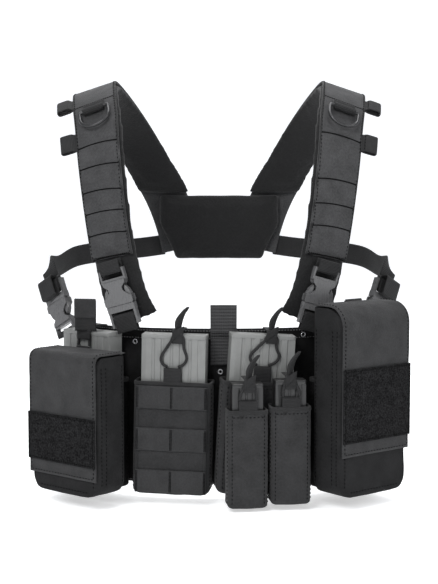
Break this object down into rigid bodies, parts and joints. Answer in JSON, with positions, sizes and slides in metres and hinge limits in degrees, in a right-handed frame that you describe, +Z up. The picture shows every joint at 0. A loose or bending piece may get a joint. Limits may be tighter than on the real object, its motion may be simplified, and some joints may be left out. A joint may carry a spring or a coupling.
{
  "type": "chest harness vest",
  "caption": "Black nylon harness vest: padded shoulder straps with D-rings and side-release buckles, curved chest panel, open magazine pouches, two flap pouches, rear yoke.",
  "frame": {"origin": "on the wearer's mid line, level with the tops of the shoulders, midway between chest and back", "axes": "+Z up, -Y the way the wearer faces, +X towards the wearer's left"},
  "size_m": [0.423, 0.3175, 0.4649],
  "materials": {
    "cordura": "coarse woven, matt",
    "webbing": "flat ribbed weave, matt",
    "padding": "smooth knitted, matt",
    "elastic": "braided cord and folded webbing, matt",
    "buckle_plastic": "satin",
    "grey_polymer": "fine grained",
    "black_polymer": "satin",
    "ring_steel": "black satin"
  },
  "bodies": {
    "harness": {"chest_panel": "cordura", "back_yoke": "padding", "shoulder_pad_right": "padding", "shoulder_cover_right": "webbing", "d_ring_keeper_right": "webbing", "side_loop_right_1": "webbing", "side_loop_right_2": "webbing", "shoulder_buckle_right_male": "buckle_plastic", "shoulder_buckle_right_strip": "webbing", "shoulder_pad_left": "padding", "shoulder_cover_left": "webbing", "d_ring_keeper_left": "webbing", "side_loop_left_1": "webbing", "side_loop_left_2": "webbing", "shoulder_buckle_left_male": "buckle_plastic", "shoulder_buckle_left_strip": "webbing", "mag_pouch_1": "cordura", "magazine_1": "grey_polymer", "retainer_1": "elastic", "mag_pouch_2": "cordura", "mag_pouch_3": "cordura", "mag_pouch_4": "cordura", "magazine_4": "grey_polymer", "retainer_4": "elastic", "molle_rows": "webbing", "pistol_pouch_1": "cordura", "pistol_pouch_2": "cordura", "flap_pouch_right": "cordura", "flap_pouch_left": "cordura", "center_tab": "webbing", "side_buckle_right_female": "buckle_plastic", "side_buckle_right_male": "buckle_plastic", "side_buckle_right_strip": "webbing", "side_loop_right_3": "webbing", "back_strap_right": "webbing", "side_buckle_left_female": "buckle_plastic", "side_buckle_left_male": "buckle_plastic", "side_buckle_left_strip": "webbing", "side_loop_left_3": "webbing", "back_strap_left": "webbing"},
    "d_ring_right_body": {"d_ring_right": "ring_steel"},
    "shoulder_buckle_right_female_body": {"shoulder_buckle_right_female": "buckle_plastic", "shoulder_loop_right": "webbing"},
    "shoulder_buckle_right_arm_1_body": {"shoulder_buckle_right_arm_1": "buckle_plastic"},
    "shoulder_buckle_right_arm_2_body": {"shoulder_buckle_right_arm_2": "buckle_plastic"},
    "flap_right_body": {"flap_right": "cordura"},
    "d_ring_left_body": {"d_ring_left": "ring_steel"},
    "shoulder_buckle_left_female_body": {"shoulder_buckle_left_female": "buckle_plastic", "shoulder_loop_left": "webbing"},
    "shoulder_buckle_left_arm_1_body": {"shoulder_buckle_left_arm_1": "buckle_plastic"},
    "shoulder_buckle_left_arm_2_body": {"shoulder_buckle_left_arm_2": "buckle_plastic"},
    "flap_left_body": {"flap_left": "cordura"},
    "magazine_2_body": {"magazine_2": "grey_polymer"},
    "retainer_2_body": {"retainer_2": "elastic"},
    "magazine_3_body": {"magazine_3": "grey_polymer"},
    "retainer_3_body": {"retainer_3": "elastic"},
    "pistol_magazine_1_body": {"pistol_magazine_1": "black_polymer"},
    "pistol_retainer_1_body": {"pistol_retainer_1": "elastic"},
    "pistol_magazine_2_body": {"pistol_magazine_2": "black_polymer"},
    "pistol_retainer_2_body": {"pistol_retainer_2": "elastic"}
  },
  "joints": [
    {"name": "d_ring_right_swing", "type": "hinge", "parent": "harness", "child": "d_ring_right_body", "pos_m": [-0.14042, -0.07426, -0.02589], "axis": [-0.9342, 0.1243, -0.3343], "range_deg": [0, 97.4]},
    {"name": "shoulder_buckle_right_part", "type": "slide", "parent": "harness", "child": "shoulder_buckle_right_female_body", "axis": [-0.2766, 0.0309, 0.9605], "range_m": [0, 0.024]},
    {"name": "shoulder_buckle_right_press_1", "type": "hinge", "parent": "harness", "child": "shoulder_buckle_right_arm_1_body", "pos_m": [-0.11809, -0.1139, -0.24328], "axis": [0.3502, 0.934, 0.0708], "range_deg": [0, 7.45], "stiffness_Nm_per_rad": 0.05},
    {"name": "shoulder_buckle_right_press_2", "type": "hinge", "parent": "harness", "child": "shoulder_buckle_right_arm_2_body", "pos_m": [-0.09661, -0.12244, -0.23682], "axis": [-0.3502, -0.934, -0.0708], "range_deg": [0, 7.45], "stiffness_Nm_per_rad": 0.05},
    {"name": "flap_right_lift", "type": "hinge", "parent": "harness", "child": "flap_right_body", "pos_m": [-0.13991, -0.1219, -0.29], "axis": [-0.7759, 0.6309, 0], "range_deg": [0, 74.48]},
    {"name": "d_ring_left_swing", "type": "hinge", "parent": "harness", "child": "d_ring_left_body", "pos_m": [0.14042, -0.07426, -0.02589], "axis": [-0.9342, -0.1243, 0.3343], "range_deg": [0, 97.4]},
    {"name": "shoulder_buckle_left_part", "type": "slide", "parent": "harness", "child": "shoulder_buckle_left_female_body", "axis": [0.2766, 0.0309, 0.9605], "range_m": [0, 0.024]},
    {"name": "shoulder_buckle_left_press_1", "type": "hinge", "parent": "harness", "child": "shoulder_buckle_left_arm_1_body", "pos_m": [0.09661, -0.12244, -0.23682], "axis": [-0.3502, 0.934, 0.0708], "range_deg": [0, 7.45], "stiffness_Nm_per_rad": 0.05},
    {"name": "shoulder_buckle_left_press_2", "type": "hinge", "parent": "harness", "child": "shoulder_buckle_left_arm_2_body", "pos_m": [0.11809, -0.1139, -0.24328], "axis": [0.3502, -0.934, -0.0708], "range_deg": [0, 7.45], "stiffness_Nm_per_rad": 0.05},
    {"name": "flap_left_lift", "type": "hinge", "parent": "harness", "child": "flap_left_body", "pos_m": [0.13991, -0.1219, -0.238], "axis": [-0.7759, -0.6309, 0], "range_deg": [0, 74.48]},
    {"name": "magazine_2_draw", "type": "slide", "parent": "harness", "child": "magazine_2_body", "axis": [0.0198, -0.0026, 0.9998], "range_m": [0, 0.046]},
    {"name": "retainer_2_swing", "type": "hinge", "parent": "harness", "child": "retainer_2_body", "pos_m": [-0.05023, -0.14684, -0.30599], "axis": [0.9911, -0.1316, -0.02], "range_deg": [0, 114.59]},
    {"name": "magazine_3_draw", "type": "slide", "parent": "harness", "child": "magazine_3_body", "axis": [0.0594, 0.0079, 0.9982], "range_m": [0, 0.0311]},
    {"name": "retainer_3_swing", "type": "hinge", "parent": "harness", "child": "retainer_3_body", "pos_m": [0.04734, -0.14722, -0.30394], "axis": [0.9895, 0.1314, -0.06], "range_deg": [0, 77.35]},
    {"name": "pistol_magazine_1_draw", "type": "slide", "parent": "harness", "child": "pistol_magazine_1_body", "axis": [0, 0, 1], "range_m": [0, 0.012]},
    {"name": "pistol_retainer_1_swing", "type": "hinge", "parent": "harness", "child": "pistol_retainer_1_body", "pos_m": [0.031, -0.1796, -0.3365], "axis": [0.991, 0.1336, 0], "range_deg": [0, 114.59]},
    {"name": "pistol_magazine_2_draw", "type": "slide", "parent": "harness", "child": "pistol_magazine_2_body", "axis": [0, 0, 1], "range_m": [0, 0.012]},
    {"name": "pistol_retainer_2_swing", "type": "hinge", "parent": "harness", "child": "pistol_retainer_2_body", "pos_m": [0.07709, -0.17339, -0.3335], "axis": [0.991, 0.1336, 0], "range_deg": [0, 114.59]}
  ],
  "couplings": [
    {"joint": "shoulder_buckle_right_press_2", "follows": "shoulder_buckle_right_press_1", "ratio": 1},
    {"joint": "shoulder_buckle_left_press_2", "follows": "shoulder_buckle_left_press_1", "ratio": 1},
    {"joint": "retainer_2_swing", "follows": "magazine_2_draw", "rad_per_m": 43.47},
    {"joint": "retainer_3_swing", "follows": "magazine_3_draw", "rad_per_m": 43.4},
    {"joint": "pistol_retainer_1_swing", "follows": "pistol_magazine_1_draw", "rad_per_m": 166.6},
    {"joint": "pistol_retainer_2_swing", "follows": "pistol_magazine_2_draw", "rad_per_m": 166.6}
  ]
}
